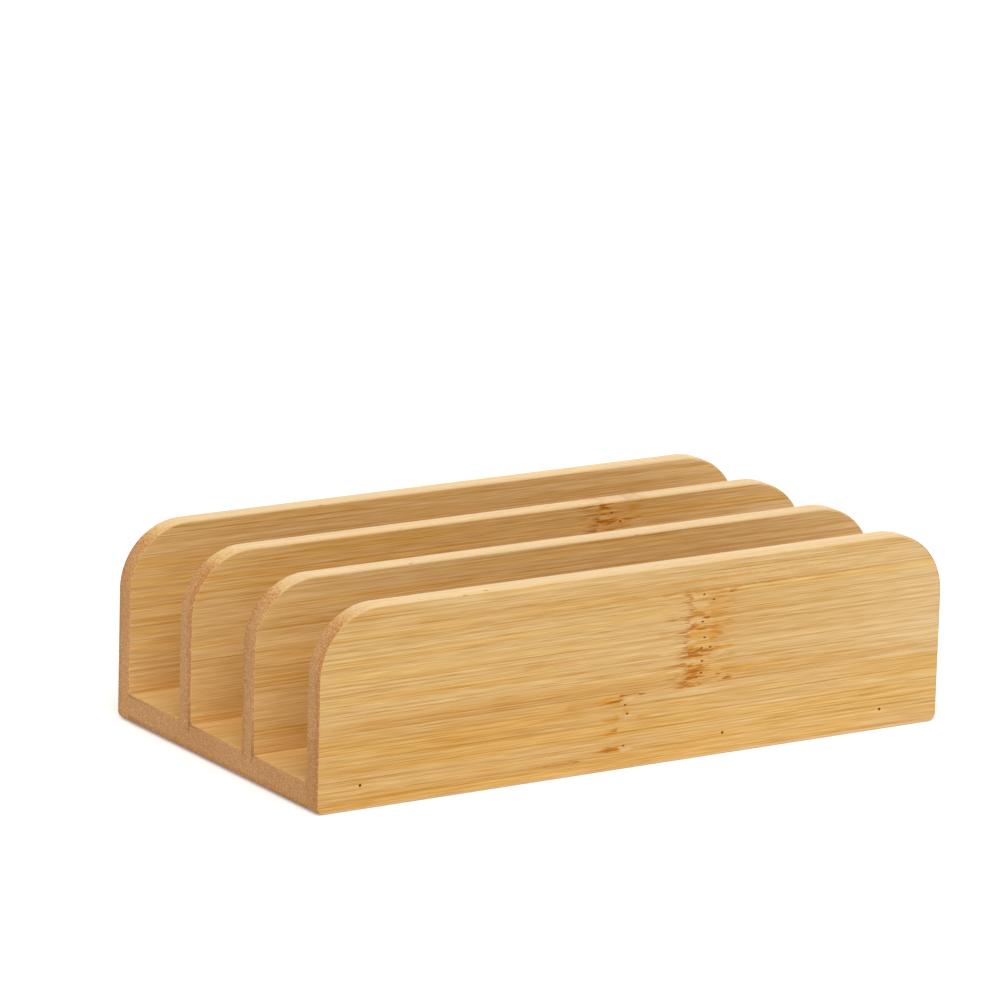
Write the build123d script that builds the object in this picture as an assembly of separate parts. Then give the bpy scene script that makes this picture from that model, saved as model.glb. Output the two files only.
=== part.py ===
from build123d import *
import os

# Desktop mail sorter: four bamboo uprights on a bamboo base, glued and pinned.
# Millimetres. +Z is up and -Y is the front. The origin is on the desk, under the middle of the sorter.

# Boards
width = 175.0
upright_height = 48.0
upright_thickness = 5.0
base_thickness = 7.0
slot_width = 24.0
divider_names = ("front_divider", "rear_divider")

# Edges and corners of the boards
top_corner_radius = 16.0
foot_corner_radius = 2.0
edge_easing = 0.5

# Grooves in the base that seat the dividers
groove_depth = 2.0
groove_side_clearance = 0.05

# Headless pin nails, set below the surface
nail_diameter = 0.7
nail_point_length = 1.2
nail_set_depth = 0.6
panel_nail_length = 18.0
divider_nail_length = 15.0
nail_side_clearance = 0.05
nail_tip_clearance = 0.2
nail_point_share = 0.3

# Each row's nails along the width, and up the base's edge, as they were driven by hand
nail_place_shares = (-0.434, -0.143, 0.141, 0.403)
nail_height_shares = (0.83, 0.81, 0.74, 0.72)
filled_nail = 1

# How far each cutting shape runs past the face that it opens
cut_overrun = 1.0

# Sizes that follow from those above
slot_count = len(divider_names) + 1
depth = slot_count * slot_width + (slot_count + 1) * upright_thickness
base_depth = depth - 2 * upright_thickness
groove_width = upright_thickness + 2 * groove_side_clearance
groove_floor = base_thickness - groove_depth
nail_radius = nail_diameter / 2
nail_hole_radius = nail_radius + nail_side_clearance

standing = (Align.CENTER, Align.MIN, Align.MIN)
upward = (Align.CENTER, Align.CENTER, Align.MIN)


def upright_front(index):
    """Y of the front face of an upright, counted from 0 at the front panel"""
    return index * (upright_thickness + slot_width) - depth / 2


def upright(index, bottom):
    """One upright board, up from the given height, with its two large top corners"""
    board = Box(width, upright_thickness, upright_height - bottom, align=standing)
    board = Pos(0, upright_front(index), bottom) * board
    return fillet(board.edges().filter_by(Axis.Y).group_by(Axis.Z)[-1], top_corner_radius)


def outer_panel(index):
    """The front or back panel, which stands on the desk and is eased all round"""
    board = upright(index, 0)
    board = fillet(board.edges().filter_by(Axis.Y).group_by(Axis.Z)[0], foot_corner_radius)
    faces = board.faces().filter_by(Axis.Y)
    return fillet(faces[0].edges() + faces[-1].edges(), edge_easing)


def divider(index):
    """A divider, which stands in its groove on a square lower edge and is eased everywhere else"""
    board = upright(index, groove_floor)
    faces = board.faces().filter_by(Axis.Y)
    outlines = faces[0].edges() + faces[-1].edges()
    lower_edges = outlines.group_by(Axis.Z)[0]
    return fillet(outlines - lower_edges, edge_easing)


def base_plate():
    """The flat board between the two panels, flush with their ends and feet, with a groove for each divider"""
    board = Box(width, base_depth, base_thickness, align=upward)
    board = fillet(board.edges().filter_by(Axis.Y).group_by(Axis.Z)[0], foot_corner_radius)
    board = fillet(board.edges().filter_by(Axis.Y).group_by(Axis.Z)[-1], edge_easing)
    for index in range(1, slot_count):
        groove = Box(width + 2 * cut_overrun, groove_width, groove_depth + cut_overrun, align=upward)
        middle = upright_front(index) + upright_thickness / 2
        board -= Pos(0, middle, groove_floor) * groove
    return board


def pin_nail(length):
    """A nail along +Z, its flat top at zero"""
    shank_length = length - nail_point_length
    shank = Cylinder(nail_radius, shank_length, align=upward)
    point = Cone(nail_radius, nail_radius * nail_point_share, nail_point_length, align=upward)
    return shank + Pos(0, 0, shank_length) * point


def nail_hole(length):
    """The hole of such a nail, from past the board's face to just past the nail's point"""
    reach = cut_overrun + nail_set_depth + length + nail_tip_clearance
    return Pos(0, 0, -nail_set_depth - cut_overrun) * Cylinder(nail_hole_radius, reach, align=upward)


def panel_nail_places(front):
    """Where each nail of the front or back panel starts, pointing into the base"""
    into_base = 1 if front else -1
    start = -into_base * (depth / 2 - nail_set_depth)
    places = []
    for place_share, height_share in zip(nail_place_shares, nail_height_shares):
        spot = Pos(width * place_share, start, base_thickness * height_share)
        places.append(spot * Rot(-90 * into_base, 0, 0))
    return places


def divider_nail_places(index):
    """Where each nail of a divider starts, under the base and pointing up"""
    middle = upright_front(index) + upright_thickness / 2
    return [Pos(width * share, middle, nail_set_depth) for share in nail_place_shares]


boards = {
    "base_plate": base_plate(),
    "front_panel": outer_panel(0),
    "back_panel": outer_panel(slot_count),
}

# Each row of nails: the board that it fastens, where its nails start and how long they are
nail_rows = {
    "front_panel": (panel_nail_places(True), panel_nail_length),
    "back_panel": (panel_nail_places(False), panel_nail_length),
}

for index, name in enumerate(divider_names, start=1):
    boards[name] = divider(index)
    nail_rows[name] = (divider_nail_places(index), divider_nail_length)

parts = {}
for board_name, (places, length) in nail_rows.items():
    for place in places:
        boards[board_name] -= place * nail_hole(length)
        boards["base_plate"] -= place * nail_hole(length)
    parts[board_name + "_nails"] = Compound([place * pin_nail(length) for place in places])

# Wood filler over one nail of the front panel, level with the panel's face
filled_place = panel_nail_places(True)[filled_nail]
filler = Cylinder(nail_radius, nail_set_depth, align=upward)
parts["nail_hole_filler"] = filled_place * Pos(0, 0, -nail_set_depth) * filler

parts.update(boards)

os.makedirs("parts", exist_ok=True)
for node, shape in parts.items():
    export_step(shape, f"parts/{node}.step")
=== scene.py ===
import math
import random
import bmesh
import bpy
from mathutils import Matrix, Vector


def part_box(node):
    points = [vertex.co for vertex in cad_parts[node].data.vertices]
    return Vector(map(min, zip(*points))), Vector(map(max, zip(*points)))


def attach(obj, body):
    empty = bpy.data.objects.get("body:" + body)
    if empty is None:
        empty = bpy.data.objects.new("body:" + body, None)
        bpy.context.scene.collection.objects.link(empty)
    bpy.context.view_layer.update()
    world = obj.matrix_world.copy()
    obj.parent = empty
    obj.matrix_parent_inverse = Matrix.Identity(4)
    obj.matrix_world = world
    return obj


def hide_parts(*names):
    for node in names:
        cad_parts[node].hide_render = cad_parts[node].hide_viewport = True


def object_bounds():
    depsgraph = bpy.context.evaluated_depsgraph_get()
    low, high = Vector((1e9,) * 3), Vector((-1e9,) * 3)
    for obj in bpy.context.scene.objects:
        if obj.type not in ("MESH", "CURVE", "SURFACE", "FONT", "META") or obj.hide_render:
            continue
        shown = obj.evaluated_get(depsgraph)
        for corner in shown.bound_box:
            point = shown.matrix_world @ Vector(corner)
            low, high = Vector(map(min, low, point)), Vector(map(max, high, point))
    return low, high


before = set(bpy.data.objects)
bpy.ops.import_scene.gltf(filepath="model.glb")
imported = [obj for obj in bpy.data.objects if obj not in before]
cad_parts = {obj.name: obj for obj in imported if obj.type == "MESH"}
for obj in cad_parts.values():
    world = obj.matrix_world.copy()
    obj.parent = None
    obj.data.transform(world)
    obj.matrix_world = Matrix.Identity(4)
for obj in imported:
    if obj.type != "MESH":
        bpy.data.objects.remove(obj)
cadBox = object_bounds()
scene = bpy.context.scene
scene.view_settings.view_transform = "Standard"
print("frame loaded:", ", ".join(sorted(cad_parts)))


# small helpers for shader trees

def feed(tree, socket, value):
    if isinstance(value, bpy.types.NodeSocket):
        tree.links.new(value, socket)
    else:
        socket.default_value = value


def addNode(tree, kind, inputs=None, **settings):
    node = tree.nodes.new(kind)
    for name, value in settings.items():
        setattr(node, name, value)
    for name, value in (inputs or {}).items():
        feed(tree, node.inputs[name], value)
    return node


def calc(tree, operation, first, second=0.0):
    return addNode(tree, "ShaderNodeMath", {0: first, 1: second}, operation=operation).outputs[0]


def times(tree, first, second):
    return calc(tree, "MULTIPLY", first, second)


def calcVector(tree, operation, first, second):
    return addNode(tree, "ShaderNodeVectorMath", {0: first, 1: second}, operation=operation).outputs[0]


# 0 at start, 1 at end, smooth between
def fade(tree, value, start, end):
    inputs = {"Value": value, "From Min": start, "From Max": end}
    return addNode(tree, "ShaderNodeMapRange", inputs, interpolation_type="SMOOTHSTEP").outputs["Result"]


# noise centred on zero, with cells of the given size in millimetres
def grainNoise(tree, place, size, detail=1.0):
    at = calcVector(tree, "DIVIDE", place, size)
    noise = addNode(tree, "ShaderNodeTexNoise", {"Vector": at, "Scale": 1.0, "Detail": detail})
    return calc(tree, "SUBTRACT", noise.outputs[0], 0.5)


def mixColour(tree, amount, first, second, how="MIX"):
    inputs = {0: amount, 6: first, 7: second}
    return addNode(tree, "ShaderNodeMix", inputs, data_type="RGBA", blend_type=how).outputs[2]


# straight up to its knee and curved past it
screenCurve = {"levels": 255, "knee": 0.04045, "slope": 12.92, "offset": 0.055, "power": 2.4}


# a colour as a screen shows it, 0 to 255, in the linear values that a shader takes
def screenColour(red, green, blue):
    offset = screenCurve["offset"]
    linear = []
    for level in (red, green, blue):
        share = level / screenCurve["levels"]
        curved = ((share + offset) / (1 + offset)) ** screenCurve["power"]
        linear.append(share / screenCurve["slope"] if share < screenCurve["knee"] else curved)
    return (*linear, 1.0)


# stops are (position, colour) from the lowest up, with colours as a shader takes them
def rampNode(tree, value, stops, interpolation):
    ramp = addNode(tree, "ShaderNodeValToRGB", {"Fac": value})
    ramp.color_ramp.interpolation = interpolation
    elements = ramp.color_ramp.elements
    elements.remove(elements[1])
    elements[0].position, elements[0].color = stops[0]
    for position, colour in stops[1:]:
        elements.new(position).color = colour
    return ramp


def colourRamp(tree, value, stops):
    stops = [(position, screenColour(*colour)) for position, colour in stops]
    return rampNode(tree, value, stops, "LINEAR").outputs["Color"]


# sum of (noise, weight) pairs on top of a starting value
def weighted(tree, start, layers):
    total = start
    for layer, weight in layers:
        total = calc(tree, "ADD", total, times(tree, layer, weight))
    return total


# bamboo: sizes are in millimetres along the fibres, across the strips and into the board
# tones and tints are as a screen shows them

millimetresPerMetre = 1000.0


def toMillimetres(group, length):
    return times(group, length, millimetresPerMetre)


# where a value passes from one edge to the other, as far as a mask lets it show
def patches(group, value, edge, mask):
    return times(group, fade(group, value, *edge), mask)


# each strip comes from another part of the culm, and its fibres waver, more so beside a knuckle
culm = {"stripShift": (311.0, 47.0, 71.0), "waver": (120.0, 16.0, 16.0), "waverAmount": 0.6,
        "bulge": (7.0, 2.6, 2.6), "bulgeAmount": 1.0, "bulgeReach": (12.0, 1.0)}


# a point's place in its strip, its place along the swaying fibres, its way past the knuckle, and its axes
def grainPlaces(group, given):
    onBoard = calcVector(group, "MULTIPLY", given["Place"], (millimetresPerMetre,) * 3)
    elsewhere = calcVector(group, "MULTIPLY", given["Shift"], culm["stripShift"])
    strip = calcVector(group, "ADD", onBoard, elsewhere)
    axes = addNode(group, "ShaderNodeSeparateXYZ", {0: onBoard}).outputs
    pastKnuckle = calc(group, "SUBTRACT", axes["X"], toMillimetres(group, given["Knuckle"]))
    nearKnuckle = fade(group, calc(group, "ABSOLUTE", pastKnuckle), *culm["bulgeReach"])
    nearKnuckle = times(group, nearKnuckle, given["Burn"])
    waver = times(group, grainNoise(group, strip, culm["waver"]), culm["waverAmount"])
    bulge = times(group, grainNoise(group, strip, culm["bulge"]), culm["bulgeAmount"])
    sway = calc(group, "ADD", waver, times(group, bulge, nearKnuckle))
    swayed = addNode(group, "ShaderNodeCombineXYZ", {"Y": sway, "Z": sway}).outputs[0]
    return strip, calcVector(group, "ADD", strip, swayed), pastKnuckle, axes


# each layer and each line has the size of its noise and its weight
fibres = {
    "tones": [(0.10, (192, 135, 52)), (0.34, (209, 159, 84)), (0.50, (219, 176, 111)),
              (0.66, (227, 190, 132)), (0.90, (236, 207, 159))],
    "middleTone": 0.557,
    "toneShare": 0.85,
    "shadeShare": 0.22,
    "layers": {"broad": ((90.0, 4.4, 4.4), 0.05), "streak": ((90.0, 1.2, 1.2), 0.05),
               "fine": ((95.0, 0.42, 0.42), 0.54), "hair": ((9.0, 0.24, 0.24), 0.65)},
    "lines": [((110.0, 0.54, 0.54), -0.08), ((100.0, 0.30, 0.30), -0.15)],
    "lineEdge": (0.07, 0.17),
    "lineShift": (0.0, 19.0, 0.0),
    "paleRun": (0.0, 46.0),
    "gold": {"size": (80.0, 2.6, 2.6), "shift": (0.0, 57.0, 0.0), "fine": 0.3, "edge": (0.0, 0.24),
             "tint": (258, 252, 226)},
    "glue": {"edge": (0.2, 0.05), "tint": (246, 236, 218)},
}


# fibres: soft bands, crisp lines and hairs, with golden stretches and a faint glue line between strips
def fibreColour(group, given, fibre, axes, upStrip):
    layers = {}
    weights = []
    stretch = {"X": given["Fibre Length"], "Y": 1.0, "Z": 1.0}
    stretch = addNode(group, "ShaderNodeCombineXYZ", stretch).outputs[0]
    hairs, fibre = fibre, calcVector(group, "DIVIDE", fibre, stretch)
    for name, (size, weight) in fibres["layers"].items():
        layers[name] = grainNoise(group, hairs if name == "hair" else fibre, size)
        weights.append((layers[name], weight))
    for size, weight in fibres["lines"]:
        line = grainNoise(group, calcVector(group, "ADD", fibre, fibres["lineShift"]), size, detail=0.0)
        weights.append((fade(group, line, *fibres["lineEdge"]), weight))
    single = weighted(group, 0.0, weights)

    # single fibres change both the tone and, like shade, the colour's depth
    pastStart = calc(group, "SUBTRACT", axes["X"], toMillimetres(group, given["Pale From"]))
    paler = fade(group, pastStart, *fibres["paleRun"])
    tone = calc(group, "ADD", given["Tone"], fibres["middleTone"])
    tone = weighted(group, tone, [(single, fibres["toneShare"]), (paler, given["Pale End"])])
    shade = weighted(group, 1.0, [(single, fibres["shadeShare"])])
    colour = mixColour(group, 1.0, colourRamp(group, tone, fibres["tones"]), shade, "MULTIPLY")

    gold, glue = fibres["gold"], fibres["glue"]
    golden = grainNoise(group, calcVector(group, "ADD", fibre, gold["shift"]), gold["size"])
    golden = weighted(group, golden, [(given["Gold"], 1.0), (layers["fine"], gold["fine"])])
    golden = fade(group, golden, *gold["edge"])
    colour = mixColour(group, golden, colour, screenColour(*gold["tint"]), "MULTIPLY")
    glued = fade(group, calc(group, "ABSOLUTE", upStrip), *glue["edge"])
    return mixColour(group, glued, colour, screenColour(*glue["tint"]), "MULTIPLY"), layers


# starts and stops are in millimetres past the knuckle's line
# a tick's start and a row's stop are in shares of its own length
knuckles = {
    "ragged": [((1.0, 2.4, 2.4), 2.2), ((1.0, 0.6, 0.6), 2.8)],
    "lean": 0.06,
    "flames": [((3.6, 0.40, 0.40), 1.0), ((2.4, 0.26, 0.26), 0.6)],
    "breakUp": {"flame": 1.5, "inside": (0.02, 0.3), "edge": (0.0, 0.7), "amount": 0.95},
    "rows": {"start": (-0.5, 0.5), "flame": 1.2, "stop": (1.5, 0.5)},
    "ticks": {"size": (4.4, 0.24, 0.24), "row": 0.16, "edge": (0.03, 0.16), "start": (1.8, 0.2),
              "stop": (0.5, 0.0), "amount": 0.85},
    "dashes": {"size": (4.2, 0.42, 0.42), "shift": (0.0, 71.0, 0.0), "edge": (0.06, 0.22),
               "start": (1.0, 5.0), "stop": (18.0, 8.0), "amount": 0.4},
    "tickTone": (180, 110, 32),
    "glow": {"start": (-0.4, 0.4), "stop": (17.0, 3.0), "amount": 0.4},
    "goldenTint": (244, 222, 172),
    "honeyTint": (254, 228, 152),
    "cream": {"tone": (228, 189, 132), "amount": 0.9, "fine": 1.2, "hair": 1.2},
    "burnt": {"tones": [(0.1, (216, 162, 84)), (0.45, (203, 137, 47)), (0.8, (184, 112, 22)),
                        (1.0, (172, 100, 12))],
              "heat": 0.95, "fine": -1.8, "hair": -1.8},
}


# short ticks before the knuckle's line, and a few dashes further past it
def ticksAndDashes(group, given, colour, strip, fibre, past):
    ticks, dashes = knuckles["ticks"], knuckles["dashes"]
    tone = screenColour(*knuckles["tickTone"])
    tick = grainNoise(group, strip, ticks["size"], detail=0.0)
    tick = weighted(group, tick, [(given["Tick"], ticks["row"])])
    before = calc(group, "DIVIDE", past, times(group, given["Tick Length"], -millimetresPerMetre))
    reach = times(group, fade(group, before, *ticks["start"]), fade(group, past, *ticks["stop"]))
    amount = patches(group, tick, ticks["edge"], times(group, reach, given["Burn"]))
    colour = mixColour(group, times(group, amount, ticks["amount"]), colour, tone)

    dash = grainNoise(group, calcVector(group, "ADD", fibre, dashes["shift"]), dashes["size"], detail=0.0)
    reach = times(group, fade(group, past, *dashes["start"]), fade(group, past, *dashes["stop"]))
    amount = patches(group, dash, dashes["edge"], times(group, reach, given["Burn"]))
    return mixColour(group, times(group, amount, dashes["amount"]), colour, tone)


# breaks a soft mark up into flames that run along the fibres
def flames(group, mark, flame):
    breakUp = knuckles["breakUp"]
    heat = weighted(group, mark, [(flame, breakUp["flame"])])
    inside = times(group, fade(group, mark, *breakUp["inside"]), breakUp["amount"])
    return patches(group, heat, breakUp["edge"], inside), heat


# knuckle: ticks feather up to a ragged line that leans a little, with honey, cream and burnt flames past it
def knuckleColour(group, given, colour, strip, fibre, pastKnuckle, upStrip, layers):
    acrossOnly = calcVector(group, "MULTIPLY", strip, (0.0, 1.0, 1.0))
    ragged = []
    for size, weight in knuckles["ragged"]:
        ragged.append((grainNoise(group, acrossOnly, size, detail=0.0), weight))
    past = calc(group, "SUBTRACT", pastKnuckle, weighted(group, 0.0, ragged))
    past = calc(group, "SUBTRACT", past, times(group, upStrip, knuckles["lean"]))
    flame = [(grainNoise(group, fibre, size), weight) for size, weight in knuckles["flames"]]
    flame = weighted(group, 0.0, flame)
    colour = ticksAndDashes(group, given, colour, strip, fibre, past)

    rows = knuckles["rows"]
    after = calc(group, "DIVIDE", past, toMillimetres(group, given["Flame Length"]))
    after = weighted(group, after, [(flame, rows["flame"])])
    lasting = times(group, fade(group, past, *rows["start"]), fade(group, after, *rows["stop"]))
    marks = {}
    for kind in flameKinds:
        row = times(group, given["Flame " + kind], lasting)
        marks[kind] = calc(group, "MAXIMUM", given[kind], row)

    glow, cream, burnt = knuckles["glow"], knuckles["cream"], knuckles["burnt"]
    glowing = times(group, fade(group, past, *glow["start"]), fade(group, past, *glow["stop"]))
    glowing = times(group, glowing, times(group, given["Burn"], glow["amount"]))
    colour = mixColour(group, given["Golden"], colour, screenColour(*knuckles["goldenTint"]), "MULTIPLY")
    honey = calc(group, "MAXIMUM", glowing, flames(group, marks["Honey"], flame)[0])
    colour = mixColour(group, honey, colour, screenColour(*knuckles["honeyTint"]), "MULTIPLY")
    creamy = [(layers["fine"], cream["fine"]), (layers["hair"], cream["hair"])]
    creamy = weighted(group, cream["amount"], creamy)
    creamy = times(group, flames(group, marks["Cream"], flame)[0], creamy)
    colour = mixColour(group, creamy, colour, screenColour(*cream["tone"]))
    charred, heat = flames(group, marks["Burnt"], times(group, flame, -1.0))
    heat = times(group, heat, burnt["heat"])
    heat = weighted(group, heat, [(layers["fine"], burnt["fine"]), (layers["hair"], burnt["hair"])])
    return mixColour(group, charred, colour, colourRamp(group, heat, burnt["tones"]))


endGrain = {
    "tones": [(0.20, (170, 112, 56)), (0.42, (197, 144, 90)),
              (0.58, (208, 158, 104)), (0.80, (224, 184, 132))],
    "middleTone": 0.41,
    "weights": {"bundle": 0.2, "streak": 0.3, "fine": 0.25},
    "bundle": {"perMillimetre": 1.9, "edge": (0.46, 0.12), "square": (1.6, 0.3), "amount": 0.68,
               "tone": (140, 80, 26)},
    "oblique": {"edge": (0.95, 0.5), "tint": (258, 250, 226)},
    "skin": {"streak": 1.5, "fine": 3.0, "reach": (2.6, 0.4), "bundle": (0.9, 0.3), "amount": 0.65,
             "tone": (178, 116, 56)},
    "ragged": 1.1,
    "edge": (0.3, 0.6),
}


# end grain: fibre bundles seen end on, denser and darker on the side of the culm's skin
def endColour(group, given, colour, strip, into, layers):
    dot, oblique, skin = endGrain["bundle"], endGrain["oblique"], endGrain["skin"]
    axes = addNode(group, "ShaderNodeSeparateXYZ", {0: strip}).outputs
    at = addNode(group, "ShaderNodeCombineXYZ", {"X": axes["Y"], "Y": axes["Z"]}).outputs[0]
    cells = {"Vector": at, "Scale": dot["perMillimetre"]}
    bundle = addNode(group, "ShaderNodeTexVoronoi", cells, voronoi_dimensions="2D").outputs["Distance"]
    parts = {"bundle": bundle, **layers}
    start = calc(group, "ADD", given["Tone"], endGrain["middleTone"])
    tone = weighted(group, start, [(parts[name], weight) for name, weight in endGrain["weights"].items()])
    cut = colourRamp(group, tone, endGrain["tones"])
    dots = patches(group, bundle, dot["edge"], fade(group, given["End Grain"], *dot["square"]))
    cut = mixColour(group, times(group, dots, dot["amount"]), cut, screenColour(*dot["tone"]))
    slanting = fade(group, given["End Grain"], *oblique["edge"])
    cut = mixColour(group, slanting, cut, screenColour(*oblique["tint"]), "MULTIPLY")
    fromSkin = calc(group, "ABSOLUTE", calc(group, "SUBTRACT", into, toMillimetres(group, given["Skin"])))
    fromSkin = weighted(group, fromSkin, [(layers["streak"], skin["streak"]), (layers["fine"], skin["fine"])])
    dense = patches(group, fromSkin, skin["reach"], fade(group, bundle, *skin["bundle"]))
    cut = mixColour(group, times(group, dense, skin["amount"]), cut, screenColour(*skin["tone"]))
    ends = weighted(group, given["End Grain"], [(layers["fine"], endGrain["ragged"])])
    return mixColour(group, fade(group, ends, *endGrain["edge"]), colour, cut)


# the sanded tone is both real sanding and a painted highlight on the eased edges and top faces
edgeFinish = {"sandedAndHighlightTone": (244, 216, 166), "sandedAndHighlightAmount": 0.55, "poreTone": (140, 84, 12),
              "fleck": {"size": (4.0, 1.0, 1.0), "edge": (0.2, 0.27), "amount": 0.8, "tone": (150, 98, 48)}}


# edges are sanded paler along the fibres, a tone that also paints in the highlight where light catches the
# eased edges and the top, with a few torn flecks, and pores are brown inside
def edgeColour(group, given, colour, strip):
    fleck = edgeFinish["fleck"]
    # painted highlight with the sanding: the eased edges and top along the fibres are made paler, as light
    # catching them would
    alongFibres = calc(group, "SUBTRACT", 1.0, given["End Grain"])
    pale = times(group, given["Sanded And Highlight"], alongFibres)
    pale = times(group, pale, edgeFinish["sandedAndHighlightAmount"])
    colour = mixColour(group, pale, colour, screenColour(*edgeFinish["sandedAndHighlightTone"]))
    torn = grainNoise(group, strip, fleck["size"])
    torn = patches(group, torn, fleck["edge"], times(group, given["Sanded And Highlight"], fleck["amount"]))
    colour = mixColour(group, torn, colour, screenColour(*fleck["tone"]))
    return mixColour(group, given["Pore"], colour, screenColour(*edgeFinish["poreTone"]))


def newGroup(name, inputs, outputs):
    group = bpy.data.node_groups.new(name, "ShaderNodeTree")
    for direction, sockets in (("INPUT", inputs), ("OUTPUT", outputs)):
        for socket, kind in sockets.items():
            group.interface.new_socket(name=socket, in_out=direction, socket_type="NodeSocket" + kind)
    return group, addNode(group, "NodeGroupInput").outputs, addNode(group, "NodeGroupOutput").inputs


# what each face of a board carries for its material
# the finish's sanded value is the mask for both the sanding and its painted highlight
boardAttributes = {"strip": ("Tone", "Shift", "Gold"), "knuckle": ("Knuckle", "Burn", "Glue"),
                   "finish": ("End Grain", "Sanded And Highlight", "Pore"), "culm": ("Skin", "Fibre Length"),
                   "end": ("Pale End", "Pale From")}
markKinds = ("Golden", "Honey", "Cream", "Burnt")
flameKinds = ("Burnt", "Cream", "Honey")
rowValues = {"flames": ("Flame Burnt", "Flame Cream", "Flame Honey", "Flame Length"),
             "ticks": ("Tick", "", "", "Tick Length")}
surface = {"roughness": 0.5, "roughnessWeights": {"fine": 0.3, "streak": 0.15, "endGrain": 0.2},
           "height": 0.5, "heightWeights": {"fine": 0.6, "hair": 0.4},
           "bumpStrength": 0.25, "bumpDistance": 0.0002, "gloss": 0.25}


def buildGrainGroup():
    inputs = {"Place": "Vector"}
    for names in (*boardAttributes.values(), *rowValues.values(), markKinds):
        inputs.update({name: "Float" for name in names if name})
    outputs = {"Color": "Color", "Roughness": "Float", "Height": "Float"}
    group, given, result = newGroup("bambooGrain", inputs, outputs)
    strip, fibre, pastKnuckle, axes = grainPlaces(group, given)
    upStrip = calc(group, "SUBTRACT", axes["Y"], toMillimetres(group, given["Glue"]))
    colour, layers = fibreColour(group, given, fibre, axes, upStrip)
    colour = knuckleColour(group, given, colour, strip, fibre, pastKnuckle, upStrip, layers)
    colour = endColour(group, given, colour, strip, axes["Z"], layers)
    colour = edgeColour(group, given, colour, strip)
    parts = {"endGrain": given["End Grain"], **layers}
    roughness = [(parts[name], weight) for name, weight in surface["roughnessWeights"].items()]
    roughness = weighted(group, surface["roughness"], roughness)
    height = [(parts[name], weight) for name, weight in surface["heightWeights"].items()]
    height = weighted(group, surface["height"], height)
    feed(group, result["Color"], colour)
    feed(group, result["Roughness"], roughness)
    feed(group, result["Height"], height)
    return group


# size of the noise in millimetres, and how far it moves a place in metres
feather = {"Along": ("X", (3.0, 0.34, 0.34), 0.0030), "Across": ("Y", (2.5, 1.0, 1.0), 0.0010)}


# a place along and across the board, in metres, broken up so that a mark's ends feather out along the fibres
def buildFeatherGroup():
    outputs = {name: "Float" for name in feather}
    group, given, result = newGroup("featheredPlace", {"Place": "Vector"}, outputs)
    onBoard = calcVector(group, "MULTIPLY", given["Place"], (millimetresPerMetre,) * 3)
    axes = addNode(group, "ShaderNodeSeparateXYZ", {0: given["Place"]}).outputs
    for name, (axis, size, reach) in feather.items():
        feed(group, result[name], weighted(group, axes[axis], [(grainNoise(group, onBoard, size), reach)]))
    return group


# in shares of a mark's length, and of its half height for the side
markShape = {"taper": (1.6, 0.0), "side": (1.5, 0.3), "start": (-0.04, 0.10), "stop": (1.1, 0.4)}


# a flame-shaped mark: a sharp start, then a taper along the fibres, to the left where its length is negative
def buildMarkGroup():
    sizes = ("Along", "Across", "Start", "Middle", "Length", "Half Height", "Strength")
    group, given, result = newGroup("knuckleMark", {name: "Float" for name in sizes}, {"Mask": "Float"})
    past = calc(group, "DIVIDE", calc(group, "SUBTRACT", given["Along"], given["Start"]), given["Length"])
    tall = times(group, given["Half Height"], fade(group, past, *markShape["taper"]))
    across = calc(group, "ABSOLUTE", calc(group, "SUBTRACT", given["Across"], given["Middle"]))
    inside = fade(group, calc(group, "DIVIDE", across, tall), *markShape["side"])
    lasting = patches(group, past, markShape["start"], fade(group, past, *markShape["stop"]))
    mask = times(group, inside, times(group, lasting, given["Strength"]))
    feed(group, result["Mask"], mask)
    return group


grainGroup = buildGrainGroup()
featherGroup = buildFeatherGroup()
markGroup = buildMarkGroup()


def newMaterial(name):
    material = bpy.data.materials.new(name)
    material.use_nodes = True
    return material, material.node_tree, material.node_tree.nodes["Principled BSDF"]


rowLengths = {"longest": 0.01, "shortest": 0.0001}


# feeds the rows of each knuckle to the grain: what lies at each height, and how far it runs
def addRows(tree, across, board, end, column, grain):
    totals = [0.0, 0.0, 0.0, 0.0]
    ends = [strip["from"] for strip in board["strips"][1:]] + [end]
    for strip, stripEnd in zip(board["strips"], ends):
        if strip["burn"] > 0:
            stripWidth = stripEnd - strip["from"]
            stops = []
            for middle, kind, strength, length in strip[column]:
                values = [strength * (kind == each) for each in flameKinds]
                values.append(length / rowLengths["longest"])
                stops.append(((middle - strip["from"]) / stripWidth, values))
            upStrip = calc(tree, "DIVIDE", calc(tree, "SUBTRACT", across, strip["from"]), stripWidth)
            ramp = rampNode(tree, upStrip, stops, "EASE").outputs
            within = {0: upStrip, 1: 0.5, 2: 0.5}  # half a strip to each side of its middle
            inStrip = addNode(tree, "ShaderNodeMath", within, operation="COMPARE").outputs[0]
            found = [*addNode(tree, "ShaderNodeSeparateXYZ", {0: ramp["Color"]}).outputs, ramp["Alpha"]]
            for index, value in enumerate(found):
                totals[index] = calc(tree, "ADD", totals[index], times(tree, value, inStrip))
    length = times(tree, totals[3], rowLengths["longest"])
    totals[3] = calc(tree, "MAXIMUM", length, rowLengths["shortest"])
    for name, total in zip(rowValues[column], totals):
        if name:
            feed(tree, grain.inputs[name], total)


# feeds a board's marks to its grain, the strongest of each kind winning
def addMarks(tree, feathered, marks, grain):
    for kind in markKinds:
        strongest = 0.0
        for start, middle, length, halfHeight, strength in marks[kind]:
            inputs = {"Along": feathered["Along"], "Across": feathered["Across"], "Start": start,
                      "Middle": middle, "Length": length, "Half Height": halfHeight, "Strength": strength}
            mask = addNode(tree, "ShaderNodeGroup", inputs, node_tree=markGroup).outputs["Mask"]
            strongest = calc(tree, "MAXIMUM", strongest, mask)
        feed(tree, grain.inputs[kind], strongest)


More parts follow.
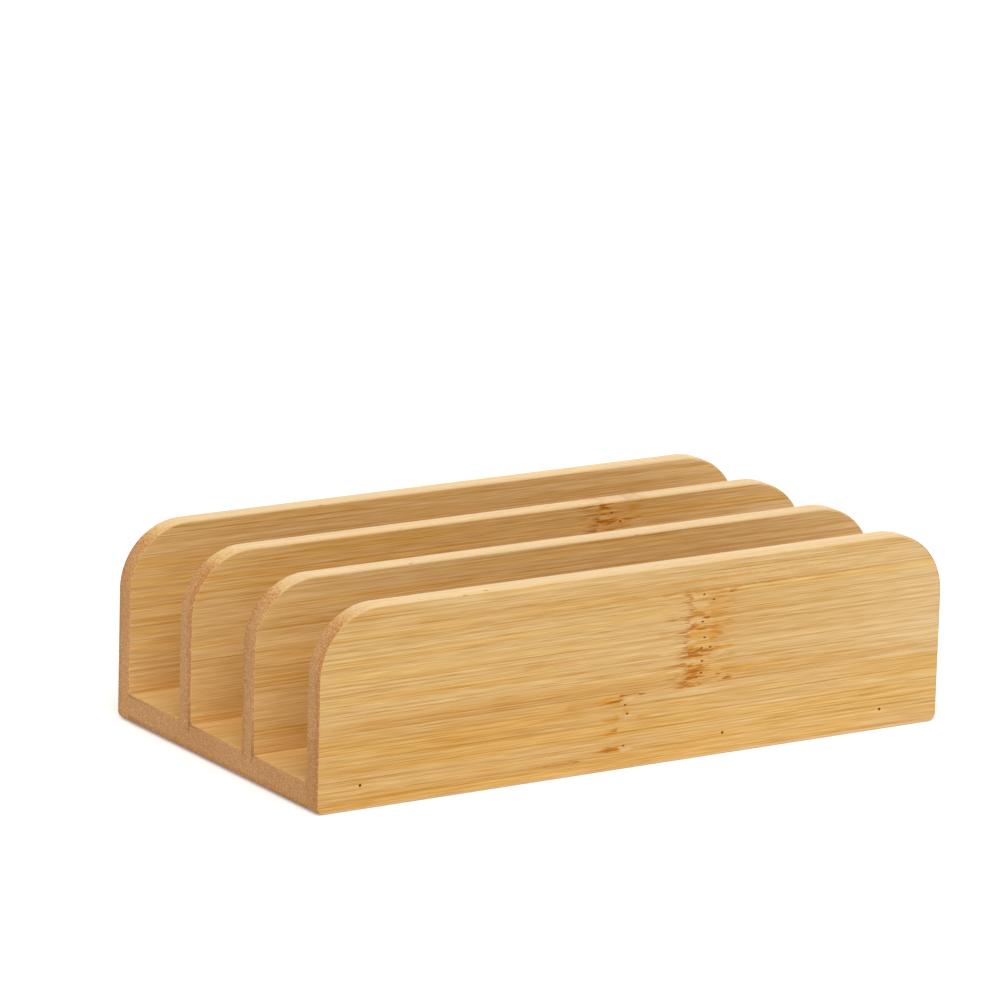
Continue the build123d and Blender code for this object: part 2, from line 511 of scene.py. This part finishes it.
# the strips lie across Z in an upright and across Y in the base
def bambooMaterial(board, across):
    material, tree, shader = newMaterial(board["piece"] + "Bamboo")
    at = addNode(tree, "ShaderNodeTexCoord").outputs["Object"]
    axes = addNode(tree, "ShaderNodeSeparateXYZ", {0: at}).outputs
    into = "Y" if across == "Z" else "Z"
    place = {"X": axes["X"], "Y": axes[across], "Z": axes[into]}
    place = addNode(tree, "ShaderNodeCombineXYZ", place).outputs[0]
    grain = addNode(tree, "ShaderNodeGroup", {"Place": place}, node_tree=grainGroup)
    feathered = addNode(tree, "ShaderNodeGroup", {"Place": place}, node_tree=featherGroup).outputs
    addMarks(tree, feathered, board["marks"], grain)
    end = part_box(board["node"])[1]["XYZ".index(across)]
    for column in rowValues:
        addRows(tree, feathered["Across"], board, end, column, grain)
    for attribute, names in boardAttributes.items():
        values = addNode(tree, "ShaderNodeAttribute", attribute_name=attribute).outputs["Vector"]
        values = addNode(tree, "ShaderNodeSeparateXYZ", {0: values}).outputs
        for name, value in zip(names, values):
            feed(tree, grain.inputs[name], value)
    relief = {"Height": grain.outputs["Height"], "Strength": surface["bumpStrength"],
              "Distance": surface["bumpDistance"]}
    bump = addNode(tree, "ShaderNodeBump", relief)
    feed(tree, shader.inputs["Base Color"], grain.outputs["Color"])
    feed(tree, shader.inputs["Roughness"], grain.outputs["Roughness"])
    feed(tree, shader.inputs["Normal"], bump.outputs["Normal"])
    shader.inputs["Specular IOR Level"].default_value = surface["gloss"]
    return material


print("bamboo grain made")


# boards: each is a block from the frame, rounded and eased, with nail holes and pores, cut into its strips

yAxis, zAxis = 1, 2  # in a vector
tiny = 1e-6  # places nearer than this are one
cutReach = 1e-7  # a cut goes through points nearer than this
aligned = {"edge": 0.99, "face": 0.999}  # share that lies along an axis or a direction
easing = {"size": 0.0005, "segments": 4}
corners = {"top": 0.016, "topSegments": 32, "foot": 0.002, "footSegments": 8}
nailHole = {"radius": 0.00036, "stretch": 1.0, "depth": 0.00065, "sides": 16}
filledHole = {"radius": 0.0004, "stretch": 1.0, "depth": 0.00065, "sides": 20}
pore = {"radius": 0.00024, "stretch": 1.7, "depth": 0.00014, "sides": 12}
nailRow = {"placeShares": (-0.434, -0.143, 0.141, 0.403), "heightShares": (0.83, 0.81, 0.74, 0.72),
           "filled": 1}


def blockFor(node):
    low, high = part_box(node)
    bm = bmesh.new()
    bmesh.ops.create_cube(bm, size=1.0)
    bmesh.ops.scale(bm, vec=high - low, verts=bm.verts)
    bmesh.ops.translate(bm, vec=(low + high) / 2, verts=bm.verts)
    return bm


def roundEdges(bm, edges, size, segments):
    bmesh.ops.bevel(bm, geom=edges, offset=size, offset_type="OFFSET", segments=segments, profile=0.5,
                    affect="EDGES", material=-1, clamp_overlap=False)


def cutAcross(bm, axis, place):
    middle, normal = Vector((0, 0, 0)), Vector((0, 0, 0))
    middle[axis] = place
    normal[axis] = 1
    everything = bm.verts[:] + bm.edges[:] + bm.faces[:]
    bmesh.ops.bisect_plane(bm, geom=everything, dist=cutReach, plane_co=middle, plane_no=normal)


# edges that run along an axis, at one height
def edgesAlong(bm, axis, height):
    found = []
    for edge in bm.edges:
        run = edge.verts[1].co - edge.verts[0].co
        level = all(abs(vert.co.z - height) < tiny for vert in edge.verts)
        if level and abs(run[axis]) > aligned["edge"] * run.length:
            found.append(edge)
    return found


# the flat face that looks furthest along a direction
def flatFace(bm, direction):
    facing = [face for face in bm.faces if face.normal.dot(direction) > aligned["face"]]
    return max(facing, key=lambda face: face.calc_center_median().dot(direction))


# sinks round holes into a flat face, each given as its centre and its kind
def sinkHoles(bm, direction, holes):
    face = flatFace(bm, direction)
    rim = list(face.edges)
    bmesh.ops.delete(bm, geom=[face], context="FACES_ONLY")
    turn = Vector((0, 0, 1)).rotation_difference(direction).to_matrix().to_4x4()
    rings = []
    for centre, kind in holes:
        ring = bmesh.ops.create_circle(bm, cap_ends=False, segments=kind["sides"], radius=kind["radius"],
                                       matrix=Matrix.Translation(centre) @ turn)
        along = Matrix.Diagonal((kind["stretch"], 1, 1, 1))
        bmesh.ops.transform(bm, matrix=along, space=Matrix.Translation(-centre), verts=ring["verts"])
        around = [edge for vert in ring["verts"] for edge in vert.link_edges]
        rings.append(list(dict.fromkeys(around)))  # each edge once, in order
    border = rim + [edge for ring in rings for edge in ring]
    bmesh.ops.triangle_fill(bm, use_beauty=True, use_dissolve=False, edges=border, normal=direction)
    for ring, (centre, kind) in zip(rings, holes):
        walls = bmesh.ops.extrude_edge_only(bm, edges=ring)["geom"]
        deep = [item for item in walls if isinstance(item, bmesh.types.BMVert)]
        bmesh.ops.translate(bm, vec=-direction * kind["depth"], verts=deep)
        edges = [item for item in walls if isinstance(item, bmesh.types.BMEdge)]
        bmesh.ops.edgenet_fill(bm, edges=[edge for edge in edges if set(edge.verts) <= set(deep)])


# by how far a face looks along the board's flat side, along its outline or along the fibres
# the sanding power and the outline's share shape the sanding and its painted highlight
edgeLook = {"flat": 0.995, "outline": 0.05, "endGrain": (0.3, 0.9), "easedEnd": (0.2, 0.6),
            "sandedAndHighlightPower": 8, "outlineSandedAndHighlight": 0.6, "curved": (0.01, 0.999)}
hollow = {"reach": 2, "depth": 1e-5}  # in depths of the hole, and in metres below the flat side


def shareBetween(value, start, end):
    return min(1.0, max(0.0, (value - start) / (end - start)))


# writes what each face carries, and makes the board's object
def finishBoard(bm, board, axis, flatAxis, holes):
    for strip in board["strips"][1:]:
        cutAcross(bm, axis, strip["from"])
    bmesh.ops.recalc_face_normals(bm, faces=bm.faces)
    layers = {name: bm.faces.layers.float_vector.new(name) for name in boardAttributes}
    low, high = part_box(board["node"])
    for face in bm.faces:
        middle = face.calc_center_median()
        strip = [each for each in board["strips"] if each["from"] <= middle[axis] + tiny][-1]
        facing = abs(face.normal[flatAxis])
        eased = edgeLook["outline"] < facing < edgeLook["flat"]
        outline = facing <= edgeLook["outline"]
        around = max(math.hypot(face.normal.x, face.normal[axis]), tiny)
        alongEdge = (abs(face.normal[axis]) / around) ** edgeLook["sandedAndHighlightPower"]  # only these are sanded pale, with a painted highlight
        cutEnds = shareBetween(abs(face.normal.x) / around, *edgeLook["endGrain"])
        cutEnds *= shareBetween(around, *edgeLook["easedEnd"])
        # sanding and painted highlight: whole on eased edges along the fibres, part on the top and foot faces
        sandedAndHighlight = alongEdge if eased else edgeLook["outlineSandedAndHighlight"] * alongEdge * outline
        sunk = any((middle - centre).length < hollow["reach"] * kind["depth"] for centre, kind in holes)
        fromFlat = min(middle[flatAxis] - low[flatAxis], high[flatAxis] - middle[flatAxis])
        sunk = sunk and fromFlat > hollow["depth"]
        face[layers["strip"]] = (strip["tone"], strip["shift"], strip["gold"])
        face[layers["knuckle"]] = (strip["knuckle"], strip["burn"], strip["from"])
        face[layers["finish"]] = (0.0, 0.0, 1.0) if sunk else (cutEnds, sandedAndHighlight, 0.0)
        skin = low[flatAxis] if board["skinSide"] < 0 else high[flatAxis]
        face[layers["culm"]] = (skin, strip["fibreLength"], 0.0)
        face[layers["end"]] = (strip["paleEnd"], strip["paleFrom"], 0.0)
        face.smooth = eased or edgeLook["curved"][0] < abs(face.normal.x) < edgeLook["curved"][1]
    mesh = bpy.data.meshes.new(board["piece"])
    bm.to_mesh(mesh)
    bm.free()
    mesh.materials.append(bambooMaterial(board, "XYZ"[axis]))
    piece = bpy.data.objects.new(board["piece"], mesh)
    scene.collection.objects.link(piece)
    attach(piece, "root")
    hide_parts(board["node"])
    print("board made:", board["piece"], len(mesh.polygons), "faces")


# an upright, standing on the desk or in its groove
def uprightBoard(board):
    low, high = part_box(board["node"])
    bm = blockFor(board["node"])
    roundEdges(bm, edgesAlong(bm, yAxis, high.z), corners["top"], corners["topSegments"])
    if board["standsOnDesk"]:
        roundEdges(bm, edgesAlong(bm, yAxis, low.z), corners["foot"], corners["footSegments"])
    sides = {-1: low.y, 1: high.y}
    outline = []
    for side in sides:
        for edge in flatFace(bm, Vector((0, side, 0))).edges:
            atFoot = all(abs(vert.co.z - low.z) < tiny for vert in edge.verts)
            if board["standsOnDesk"] or not atFoot:
                outline.append(edge)
    roundEdges(bm, outline, easing["size"], easing["segments"])
    allHoles = []
    for side, face in sides.items():
        holes = [(Vector((along, face, up)), pore) for along, up in board["pores"]]
        if board.get("nailsFrom") == side:
            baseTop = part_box("base_plate")[1].z
            for index, (place, up) in enumerate(zip(nailRow["placeShares"], nailRow["heightShares"])):
                kind = filledHole if board["filled"] and index == nailRow["filled"] else nailHole
                holes.append((Vector(((high.x - low.x) * place, face, baseTop * up)), kind))
        sinkHoles(bm, Vector((0, side, 0)), holes)
        allHoles += holes
    finishBoard(bm, board, zAxis, yAxis, allHoles)


# rows and marks where no place is chosen by hand, drawn from the board's seed for each strip with a knuckle
drawnRows = {"step": (0.0006, 0.0011), "kinds": ("Burnt", "Burnt", "Burnt", "Cream", "Honey"),
             "strength": (0.3, 1.0), "length": (0.0015, 0.0055), "most": 32}
drawnMarks = {"count": 8, "kinds": ("Honey", "Honey", "Cream", "Burnt"), "past": (0.0045, 0.0110),
              "length": (0.0025, 0.0080), "halfHeight": (0.0003, 0.0010), "strength": (0.4, 0.8)}


def drawKnuckles(board, top):
    draw = random.Random(board["seed"])
    board["marks"] = {kind: [] for kind in markKinds}
    ends = [strip["from"] for strip in board["strips"][1:]] + [top]
    for strip, end in zip(board["strips"], ends):
        if strip["burn"] > 0:
            for column, kinds in (("flames", drawnRows["kinds"]), ("ticks", ("Burnt",))):
                strip[column] = []
                middle = strip["from"]
                while middle < end and len(strip[column]) < drawnRows["most"]:
                    sizes = [draw.uniform(*drawnRows[name]) for name in ("strength", "length")]
                    strip[column].append((middle, draw.choice(kinds), *sizes))
                    middle += draw.uniform(*drawnRows["step"])
            for mark in range(drawnMarks["count"]):
                kind = draw.choice(drawnMarks["kinds"])
                start = strip["knuckle"] + draw.uniform(*drawnMarks["past"])
                sizes = [draw.uniform(*drawnMarks[name]) for name in ("length", "halfHeight", "strength")]
                board["marks"][kind].append((start, draw.uniform(strip["from"], end), *sizes))


# what a strip has unless it says otherwise: no knuckle on the board, and a right end no paler than the rest
plainStrip = {"gold": 0.0, "knuckle": 0.5, "burn": 0.0, "paleEnd": 0.0, "paleFrom": 0.042, "fibreLength": 1.0}


def fillStrips(board):
    board["strips"] = [{**plainStrip, **strip} for strip in board["strips"]]


# strips from the foot up: lower edge, part of the culm and place of the knuckle, in metres
# rows of a knuckle: height, kind, strength, length
# marks: start along the panel, height, length, half height, strength
middleFlames = [
    (0.0178, "Burnt", 0.4, 0.0035), (0.0185, "Burnt", 0.7, 0.0036), (0.0191, "Cream", 0.2, 0.0020),
    (0.0199, "Burnt", 0.9, 0.0042), (0.0207, "Burnt", 0.8, 0.0026), (0.0215, "Burnt", 1.0, 0.0034),
    (0.0222, "Burnt", 0.7, 0.0062), (0.0229, "Burnt", 1.0, 0.0026), (0.0237, "Cream", 0.8, 0.0042),
    (0.0243, "Honey", 0.4, 0.0040), (0.0249, "Burnt", 0.8, 0.0052), (0.0256, "Burnt", 1.0, 0.0040),
    (0.0262, "Burnt", 0.8, 0.0050), (0.0268, "Burnt", 0.9, 0.0030), (0.0275, "Burnt", 0.6, 0.0024),
    (0.0281, "Honey", 0.9, 0.0070), (0.0287, "Cream", 0.7, 0.0022), (0.0294, "Burnt", 0.4, 0.0012),
    (0.0301, "Honey", 0.7, 0.0080), (0.0309, "Honey", 0.5, 0.0080), (0.0317, "Burnt", 0.8, 0.0050),
    (0.0325, "Burnt", 0.7, 0.0028), (0.0333, "Cream", 0.6, 0.0036), (0.0341, "Cream", 0.5, 0.0044),
    (0.0349, "Burnt", 0.7, 0.0050), (0.0355, "Burnt", 0.7, 0.0048), (0.0362, "Cream", 0.2, 0.0040),
    (0.0372, "Cream", 0.6, 0.0054), (0.0380, "Cream", 0.3, 0.0040), (0.0385, "Burnt", 0.3, 0.0025),
    (0.0395, "Cream", 0.7, 0.0044), (0.0404, "Burnt", 0.3, 0.0030),
]
middleTicks = [
    (0.0183, "Burnt", 0.8, 0.0034), (0.0191, "Burnt", 0.8, 0.0022), (0.0196, "Burnt", 0.2, 0.0010),
    (0.0202, "Burnt", 0.5, 0.0050), (0.0209, "Burnt", 0.8, 0.0016), (0.0216, "Burnt", 0.6, 0.0030),
    (0.0223, "Burnt", 0.6, 0.0012), (0.0232, "Burnt", 0.6, 0.0050), (0.0239, "Burnt", 0.8, 0.0014),
    (0.0246, "Burnt", 0.9, 0.0024), (0.0253, "Burnt", 0.8, 0.0032), (0.0260, "Burnt", 0.7, 0.0015),
    (0.0265, "Burnt", 0.8, 0.0022), (0.0273, "Burnt", 0.4, 0.0015), (0.0280, "Burnt", 0.3, 0.0010),
    (0.0287, "Burnt", 0.6, 0.0026), (0.0298, "Burnt", 0.2, 0.0010), (0.0309, "Burnt", 0.6, 0.0040),
    (0.0318, "Burnt", 0.2, 0.0010), (0.0335, "Burnt", 0.5, 0.0012), (0.0345, "Burnt", 0.6, 0.0048),
    (0.0355, "Burnt", 0.2, 0.0010), (0.0376, "Burnt", 0.5, 0.0010), (0.0388, "Burnt", 0.6, 0.0016),
    (0.0403, "Burnt", 0.5, 0.0016),
]
frontPanel = {
    "piece": "frontPanel", "node": "front_panel", "standsOnDesk": True, "nailsFrom": -1, "filled": True,
    "skinSide": -1,
    "strips": [{"from": 0.0, "shift": 0.0, "tone": -0.08, "gold": 0.14, "paleEnd": 0.10,
                "paleFrom": -0.008, "fibreLength": 0.5},
               {"from": 0.0175, "shift": 1.0, "tone": 0.0, "knuckle": 0.0136, "burn": 1.0,
                "paleEnd": 0.14, "flames": middleFlames, "ticks": middleTicks},
               {"from": 0.0410, "shift": 2.0, "tone": 0.05, "gold": -0.04, "paleEnd": 0.03,
                "paleFrom": 0.0}],
    "marks": {
        "Golden": [(-0.0900, 0.0425, 0.2000, 0.0020, 0.3), (-0.0900, 0.0460, 0.0400, 0.0025, 0.5),
                   (-0.0900, 0.0424, 0.0700, 0.0014, 0.3),
                   (-0.0380, 0.0407, 0.0550, 0.0005, 0.5), (-0.0870, 0.0278, 0.0300, 0.0009, 0.3),
                   (-0.0330, 0.0279, 0.0260, 0.0008, 0.5), (-0.0600, 0.0150, 0.0700, 0.0022, 0.3),
                   (-0.0900, 0.0198, 0.1700, 0.0024, 0.55), (0.0200, 0.0198, 0.0900, 0.0018, 0.55),
                   (0.0200, 0.0182, 0.0500, 0.0004, 0.5), (-0.0200, 0.0171, 0.0120, 0.0009, 0.5),
                   (0.0190, 0.0335, 0.0260, 0.0055, 0.3),
                   (0.0050, 0.0433, 0.0850, 0.0004, 0.8), (-0.0100, 0.0409, 0.1100, 0.0003, 0.9),
                   (0.0550, 0.0466, 0.0400, 0.0010, 0.4), (0.0200, 0.0454, 0.0700, 0.0004, 0.6)],
        "Honey": [(0.0200, 0.0352, 0.0050, 0.0009, 0.7), (0.0205, 0.0318, 0.0060, 0.0012, 0.6),
                  (0.0200, 0.0300, 0.0040, 0.0014, 0.9), (0.0205, 0.0264, 0.0090, 0.0006, 0.7),
                  (0.0250, 0.0205, 0.0140, 0.0012, 0.4), (-0.0040, 0.0142, 0.0036, 0.0008, 0.5),
                  (0.0000, 0.0122, 0.0055, 0.0005, 0.5), (-0.0042, 0.0168, -0.0100, 0.0012, 0.65),
                  (-0.0050, 0.0124, -0.0060, 0.0009, 0.6), (-0.0056, 0.0092, -0.0060, 0.0009, 0.5),
                  (-0.0040, 0.0052, -0.0090, 0.0010, 0.6)],
        "Cream": [(0.0200, 0.0247, 0.0080, 0.0009, 0.4), (0.0220, 0.0254, 0.0038, 0.0003, 0.6),
                  (0.0210, 0.0277, 0.0110, 0.0004, 0.4), (-0.0036, 0.0168, 0.0046, 0.0005, 0.5),
                  (-0.0036, 0.0127, 0.0030, 0.0005, 0.8), (-0.0042, 0.0047, 0.0034, 0.0006, 0.7)],
        "Burnt": [(0.0180, 0.0342, 0.0032, 0.0004, 0.7), (0.0180, 0.0260, 0.0048, 0.0003, 0.8),
                  (0.0170, 0.0180, 0.0030, 0.0003, 0.6), (0.0218, 0.0200, 0.0024, 0.0004, 0.6),
                  (0.0243, 0.0186, 0.0042, 0.0005, 0.7), (0.0250, 0.0193, 0.0024, 0.0003, 0.5),
                  (0.0250, 0.0400, 0.0032, 0.0005, 0.6), (0.0262, 0.0405, 0.0034, 0.0003, 0.5),
                  (-0.0055, 0.0179, 0.0085, 0.0002, 0.6), (0.0003, 0.0178, 0.0030, 0.0003, 0.7),
                  (-0.0205, 0.0036, 0.0080, 0.0002, 0.6), (-0.0275, 0.0035, 0.0040, 0.0002, 0.5),
                  (-0.0043, 0.0167, -0.0060, 0.0005, 0.8), (-0.0052, 0.0098, -0.0040, 0.0005, 0.5),
                  (-0.0047, 0.0051, -0.0070, 0.0006, 1.0)]},
    "pores": [(0.0181, 0.0398), (0.0179, 0.0332), (0.0186, 0.0293), (0.0178, 0.0268), (0.0181, 0.0236),
              (0.0179, 0.0207), (0.0209, 0.0383), (0.0203, 0.0268), (-0.0034, 0.0156),
              (-0.0027, 0.0134), (-0.0036, 0.0057)],
}
frontDivider = {
    "piece": "frontDivider", "node": "front_divider", "standsOnDesk": False, "skinSide": 1, "seed": 3,
    "strips": [{"from": 0.0, "shift": 3.0, "tone": 0.02, "gold": 0.05, "knuckle": 0.044, "burn": 0.8},
               {"from": 0.0200, "shift": 4.0, "tone": -0.02, "knuckle": -0.058, "burn": 0.9,
                "paleEnd": 0.05},
               {"from": 0.0395, "shift": 5.0, "tone": 0.02}],
    "pores": [(0.0485, 0.0112), (0.0482, 0.0160), (0.0509, 0.0140), (-0.0535, 0.0231),
              (-0.0537, 0.0282), (-0.0512, 0.0325), (-0.0534, 0.0367)],
}
rearDivider = {
    "piece": "rearDivider", "node": "rear_divider", "standsOnDesk": False, "skinSide": -1, "seed": 4,
    "strips": [{"from": 0.0, "shift": 6.0, "tone": 0.0, "knuckle": -0.030, "burn": 0.7,
                "paleEnd": 0.05},
               {"from": 0.0140, "shift": 7.0, "tone": 0.02, "gold": -0.05, "paleEnd": -0.04},
               {"from": 0.0360, "shift": 8.0, "tone": -0.02, "gold": 0.08, "knuckle": 0.026,
                "burn": 0.9, "paleEnd": 0.05}],
    "pores": [(-0.0256, 0.0105), (0.0305, 0.0392), (0.0329, 0.0427), (0.0303, 0.0451)],
}
backPanel = {
    "piece": "backPanel", "node": "back_panel", "standsOnDesk": True, "nailsFrom": 1, "filled": False,
    "skinSide": 1, "seed": 5,
    "strips": [{"from": 0.0, "shift": 9.0, "tone": 0.02, "knuckle": 0.037, "burn": 0.9},
               {"from": 0.0210, "shift": 10.0, "tone": -0.02, "gold": 0.08, "knuckle": -0.021,
                "burn": 0.8, "paleEnd": 0.06},
               {"from": 0.0400, "shift": 11.0, "tone": 0.02}],
    "pores": [(0.0416, 0.0098), (0.0414, 0.0141), (0.0440, 0.0175), (-0.0165, 0.0240),
              (-0.0167, 0.0295), (-0.0141, 0.0318), (-0.0164, 0.0362)],
}
for board in (frontPanel, frontDivider, rearDivider, backPanel):
    fillStrips(board)
    if "seed" in board:
        drawKnuckles(board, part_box(board["node"])[1].z)
    uprightBoard(board)

# strips from the front back, in metres
basePlate = {
    "piece": "basePlate", "node": "base_plate", "grooveDepth": 0.002, "grooveClearance": 0.00005,
    "skinSide": -1, "seed": 6,
    "strips": [{"from": -0.041, "shift": 12.0, "tone": -0.01},
               {"from": -0.022, "shift": 13.0, "tone": 0.02, "gold": 0.05, "knuckle": 0.031, "burn": 0.9},
               {"from": -0.001, "shift": 14.0, "tone": -0.02, "knuckle": -0.047, "burn": 0.8,
                "paleEnd": 0.05},
               {"from": 0.020, "shift": 15.0, "tone": 0.02, "gold": -0.05, "knuckle": 0.062,
                "burn": 0.9}],
    "pores": [(0.0354, -0.0086), (0.0357, -0.0048), (-0.0424, 0.0026), (-0.0401, 0.0074),
              (0.0666, 0.0241), (0.0664, 0.0290), (0.0690, 0.0335), (0.0667, 0.0372)],
}
fillStrips(basePlate)
drawKnuckles(basePlate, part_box("base_plate")[1].y)


# cuts a groove right across the top, from end to end
def cutGroove(bm, front, back, floor):
    cutAcross(bm, yAxis, front)
    cutAcross(bm, yAxis, back)
    inGroove = [face for face in bm.faces if front < face.calc_center_median().y < back]
    above = [face for face in inGroove if face.calc_center_median().z > floor]
    bmesh.ops.delete(bm, geom=above, context="FACES")
    ends = []
    for edge in bm.edges:
        middle = (edge.verts[0].co + edge.verts[1].co) / 2
        if edge.is_boundary and front < middle.y < back and abs(middle.z - floor) < tiny:
            ends.append(edge)
    bmesh.ops.bridge_loops(bm, edges=ends)
    bmesh.ops.holes_fill(bm, edges=[edge for edge in bm.edges if edge.is_boundary], sides=0)


def baseBoard(board):
    low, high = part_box(board["node"])
    bm = blockFor(board["node"])
    roundEdges(bm, edgesAlong(bm, yAxis, low.z), corners["foot"], corners["footSegments"])
    roundEdges(bm, edgesAlong(bm, yAxis, high.z), easing["size"], easing["segments"])
    dividers = [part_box(node) for node in ("front_divider", "rear_divider")]
    topHoles = [(Vector((along, back, high.z)), pore) for along, back in board["pores"]]
    underHoles = [(Vector((along, back, low.z)), pore) for along, back in board["pores"]]
    for dividerLow, dividerHigh in dividers:
        for placeShare in nailRow["placeShares"]:
            place = Vector(((high.x - low.x) * placeShare, (dividerLow.y + dividerHigh.y) / 2, low.z))
            underHoles.append((place, nailHole))
    sinkHoles(bm, Vector((0, 0, 1)), topHoles)
    sinkHoles(bm, Vector((0, 0, -1)), underHoles)
    floor = high.z - board["grooveDepth"]
    cutAcross(bm, zAxis, floor)
    for dividerLow, dividerHigh in dividers:
        clearance = board["grooveClearance"]
        cutGroove(bm, dividerLow.y - clearance, dividerHigh.y + clearance, floor)
    finishBoard(bm, board, yAxis, zAxis, topHoles + underHoles)


baseBoard(basePlate)


# pin nails and the dab of filler keep their solids

nail = {"tones": [(0.35, (124, 82, 30)), (0.65, (170, 122, 56))], "grain": 4000.0, "metallic": 0.8}
filler = {"tones": [(0.3, (222, 170, 96)), (0.7, (247, 208, 142))], "grain": 5000.0, "metallic": 0.0}
speckle = {"detail": 3.0, "roughness": (-0.4, 1.0), "bumpStrength": 0.3, "bumpDistance": 0.00005}


def speckledMaterial(name, finish):
    material, tree, shader = newMaterial(name)
    at = addNode(tree, "ShaderNodeTexCoord").outputs["Object"]
    inputs = {"Vector": at, "Scale": finish["grain"], "Detail": speckle["detail"]}
    noise = addNode(tree, "ShaderNodeTexNoise", inputs).outputs[0]
    relief = {"Height": noise, "Strength": speckle["bumpStrength"], "Distance": speckle["bumpDistance"]}
    bump = addNode(tree, "ShaderNodeBump", relief)
    feed(tree, shader.inputs["Base Color"], colourRamp(tree, noise, finish["tones"]))
    feed(tree, shader.inputs["Roughness"], fade(tree, noise, *speckle["roughness"]))
    feed(tree, shader.inputs["Normal"], bump.outputs["Normal"])
    shader.inputs["Metallic"].default_value = finish["metallic"]
    return material


nailSteel = speckledMaterial("nailSteel", nail)
woodFiller = speckledMaterial("woodFiller", filler)
for name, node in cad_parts.items():
    if name.endswith("_nails") or name == "nail_hole_filler":
        node.data.materials.clear()
        node.data.materials.append(nailSteel if name.endswith("_nails") else woodFiller)
print("nails and filler finished")


# floor, light and camera

studio = {"floorSize": 12.0, "floorTone": (243, 243, 243), "floorGap": 0.00005, "floorGlow": 0.25,
          "floorRoughness": 0.9, "floorGloss": 0.1, "skyStrength": 0.40}
lamps = {"softSun": {"from": (-0.7, -1.4, 2.4), "strength": 2.05, "spread": 50.0},
         "rearFill": {"from": (0.9, 1.6, 0.4), "strength": 0.9, "spread": 70.0}}


# 1 for the rays that should meet a white set, and 0 for those that light the sorter
def seenRays(tree):
    path = addNode(tree, "ShaderNodeLightPath").outputs
    mirrored = calc(tree, "MAXIMUM", path["Is Glossy Ray"], path["Is Transmission Ray"])
    return calc(tree, "MAXIMUM", path["Is Camera Ray"], mirrored)


def makeFloor():
    bm = bmesh.new()
    bmesh.ops.create_grid(bm, x_segments=1, y_segments=1, size=studio["floorSize"] / 2)
    bmesh.ops.translate(bm, vec=(0, 0, cadBox[0].z - studio["floorGap"]), verts=bm.verts)
    mesh = bpy.data.meshes.new("floor")
    bm.to_mesh(mesh)
    bm.free()
    material, tree, shader = newMaterial("paleFloor")
    shader.inputs["Base Color"].default_value = screenColour(*studio["floorTone"])
    shader.inputs["Roughness"].default_value = studio["floorRoughness"]
    shader.inputs["Specular IOR Level"].default_value = studio["floorGloss"]
    shader.inputs["Emission Color"].default_value = (1.0, 1.0, 1.0, 1.0)
    glow = times(tree, seenRays(tree), studio["floorGlow"])
    feed(tree, shader.inputs["Emission Strength"], glow)
    mesh.materials.append(material)
    floor = bpy.data.objects.new("floor", mesh)
    scene.collection.objects.link(floor)


def makeSky():
    world = bpy.data.worlds.new("studioSky")
    world.use_nodes = True
    tree = world.node_tree
    background = tree.nodes["Background"]
    background.inputs["Color"].default_value = (1.0, 1.0, 1.0, 1.0)
    inputs = {"Value": seenRays(tree), "To Min": studio["skyStrength"], "To Max": 1.0}
    feed(tree, background.inputs["Strength"], addNode(tree, "ShaderNodeMapRange", inputs).outputs["Result"])
    scene.world = world


def makeLamp(name, lamp):
    light = bpy.data.lights.new(name, "SUN")
    light.energy = lamp["strength"]
    light.angle = math.radians(lamp["spread"])
    holder = bpy.data.objects.new(name, light)
    place = Vector(lamp["from"])
    holder.location = place
    holder.rotation_euler = (-place).to_track_quat("-Z", "Y").to_euler()
    scene.collection.objects.link(holder)


# the lens looks down on the front panel from its left, turned a little about its own axis
view = {"fromPanelFoot": (-0.848, -1.239, 0.4371), "yaw": 33.11, "pitch": 13.97, "roll": 1.65, "lens": 239.36,
        "sensorWidth": 36.0}


def makeCamera():
    lens = bpy.data.cameras.new("camera")
    lens.lens = view["lens"]
    lens.sensor_width = view["sensorWidth"]
    camera = bpy.data.objects.new("camera", lens)
    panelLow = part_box("front_panel")[0]
    place = Vector((0, panelLow.y, panelLow.z)) + Vector(view["fromPanelFoot"])
    heading = Matrix.Rotation(math.radians(-view["yaw"]), 4, "Z")
    tilt = Matrix.Rotation(math.radians(90 - view["pitch"]), 4, "X")
    roll = Matrix.Rotation(math.radians(view["roll"]), 4, "Z")
    camera.matrix_world = Matrix.Translation(place) @ heading @ tilt @ roll
    scene.collection.objects.link(camera)
    scene.camera = camera


makeFloor()
makeSky()
for name, lamp in lamps.items():
    makeLamp(name, lamp)
makeCamera()
print("studio ready")
